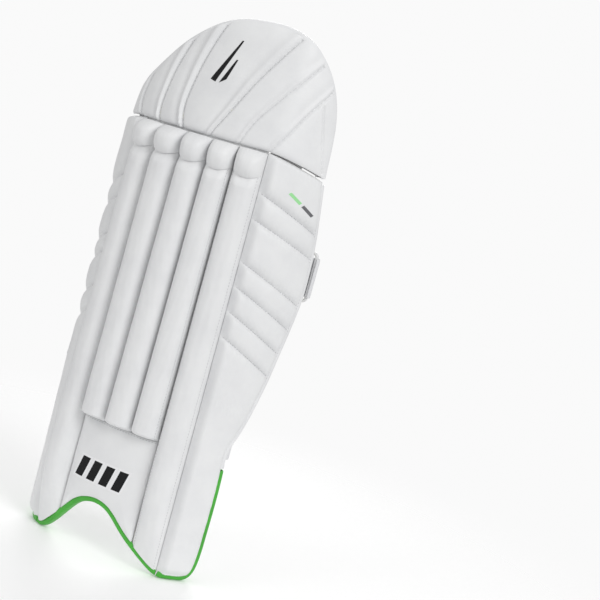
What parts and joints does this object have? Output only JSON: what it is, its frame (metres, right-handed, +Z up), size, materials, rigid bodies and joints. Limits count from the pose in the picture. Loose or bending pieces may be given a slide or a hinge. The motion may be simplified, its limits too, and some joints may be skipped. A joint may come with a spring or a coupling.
{
  "type": "cricket leg pad",
  "caption": "Batting leg pad: vertical padded shin rolls, knee rolls, flexing knee flap, folding side wings and hook-and-loop straps through rings.",
  "frame": {"origin": "bottom centre of the bounding box, on the surface that the two lobes stand on", "axes": "+Z up the leg, -Y out of the rolled front, +X towards the large outer wing"},
  "size_m": [0.2906, 0.167, 0.7057],
  "materials": {
    "facing": "matte white synthetic leather",
    "foam": "high density foam",
    "cane": "split cane",
    "green_binding": "green synthetic leather binding",
    "cushion_fabric": "cream textured fabric",
    "lining": "white printed lining",
    "webbing": "white woven webbing",
    "ring_plastic": "white moulded nylon",
    "hook_and_loop": "hook and loop tape",
    "label": "stitched label patch"
  },
  "bodies": {
    "shin": {"roll_cover_1": "facing", "roll_core_1": "foam", "cane_rod_1": "cane", "knee_roll_1": "facing", "roll_cover_2": "facing", "roll_core_2": "foam", "cane_rod_2": "cane", "knee_roll_2": "facing", "roll_cover_3": "facing", "roll_core_3": "foam", "cane_rod_3": "cane", "knee_roll_3": "facing", "roll_cover_4": "facing", "roll_core_4": "foam", "cane_rod_4": "cane", "knee_roll_4": "facing", "roll_cover_5": "facing", "roll_core_5": "foam", "cane_rod_5": "cane", "knee_roll_5": "facing", "shin_board": "foam", "shin_lining": "lining", "instep_panel": "facing", "instep_binding": "green_binding", "cushion_outer": "cushion_fabric", "cushion_inner": "cushion_fabric", "centre_strip": "lining"},
    "top_hat": {"top_hat_cover": "facing", "top_hat_foam": "foam", "top_hat_lining": "lining", "top_hat_binding": "facing"},
    "outer_wing": {"outer_wing_cushion": "cushion_fabric", "outer_wing_cover": "facing", "outer_wing_foam": "foam", "outer_wing_lining": "lining", "outer_wing_hem": "green_binding", "outer_wing_binding": "facing", "upper_ring_keeper": "webbing", "lower_ring_keeper": "webbing"},
    "inner_wing": {"inner_wing_cushion": "cushion_fabric", "inner_wing_cover": "facing", "inner_wing_foam": "foam", "inner_wing_lining": "lining", "inner_wing_hem": "green_binding", "inner_wing_binding": "facing", "upper_strap_anchor": "webbing", "lower_strap_anchor": "webbing"},
    "upper_ring": {"upper_ring": "ring_plastic"},
    "upper_strap": {"upper_strap_webbing": "webbing", "upper_loop_patch": "hook_and_loop"},
    "upper_tail": {"upper_tail_webbing": "webbing", "upper_hook_patch": "hook_and_loop", "upper_label": "label"},
    "lower_ring": {"lower_ring": "ring_plastic"},
    "lower_strap": {"lower_strap_webbing": "webbing", "lower_loop_patch": "hook_and_loop"},
    "lower_tail": {"lower_tail_webbing": "webbing", "lower_hook_patch": "hook_and_loop", "lower_label": "label"}
  },
  "joints": [
    {"name": "knee_flex", "type": "hinge", "parent": "shin", "child": "top_hat", "pos_m": [-0.00705, -0.0476, 0.553], "axis": [1, 0, 0], "range_deg": [-2, 12], "stiffness_Nm_per_rad": 6},
    {"name": "outer_wing_fold", "type": "hinge", "parent": "shin", "child": "outer_wing", "pos_m": [0.08309, -0.02832, 0.3], "axis": [0, 0, 1], "range_deg": [0, 5], "stiffness_Nm_per_rad": 2.5},
    {"name": "inner_wing_fold", "type": "hinge", "parent": "shin", "child": "inner_wing", "pos_m": [-0.09214, -0.03037, 0.3], "axis": [0, 0, -1], "range_deg": [0, 5], "stiffness_Nm_per_rad": 2.5},
    {"name": "upper_strap_swing", "type": "hinge", "parent": "inner_wing", "child": "upper_strap", "pos_m": [-0.13138, 0.02406, 0.41], "axis": [0, 0, 1], "range_deg": [0, 4.22]},
    {"name": "upper_ring_pivot", "type": "hinge", "parent": "outer_wing", "child": "upper_ring", "pos_m": [0.13606, 0.07368, 0.41], "axis": [0, 0, 1], "range_deg": [0, 3]},
    {"name": "upper_tail_peel", "type": "hinge", "parent": "upper_strap", "child": "upper_tail", "pos_m": [0.11028, 0.08202, 0.41], "axis": [0, 0, -1], "range_deg": [0, 110]},
    {"name": "lower_strap_swing", "type": "hinge", "parent": "inner_wing", "child": "lower_strap", "pos_m": [-0.13099, 0.02283, 0.188], "axis": [0, 0, 1], "range_deg": [0, 3.87]},
    {"name": "lower_ring_pivot", "type": "hinge", "parent": "outer_wing", "child": "lower_ring", "pos_m": [0.11231, 0.01605, 0.188], "axis": [0, 0, 1], "range_deg": [-3, 0]},
    {"name": "lower_tail_peel", "type": "hinge", "parent": "lower_strap", "child": "lower_tail", "pos_m": [0.08885, 0.02961, 0.188], "axis": [0, 0, -1], "range_deg": [0, 110]}
  ],
  "couplings": [
    {"joint": "upper_strap_swing", "follows": "inner_wing_fold", "ratio": 0.827},
    {"joint": "lower_strap_swing", "follows": "inner_wing_fold", "ratio": 0.7585}
  ]
}
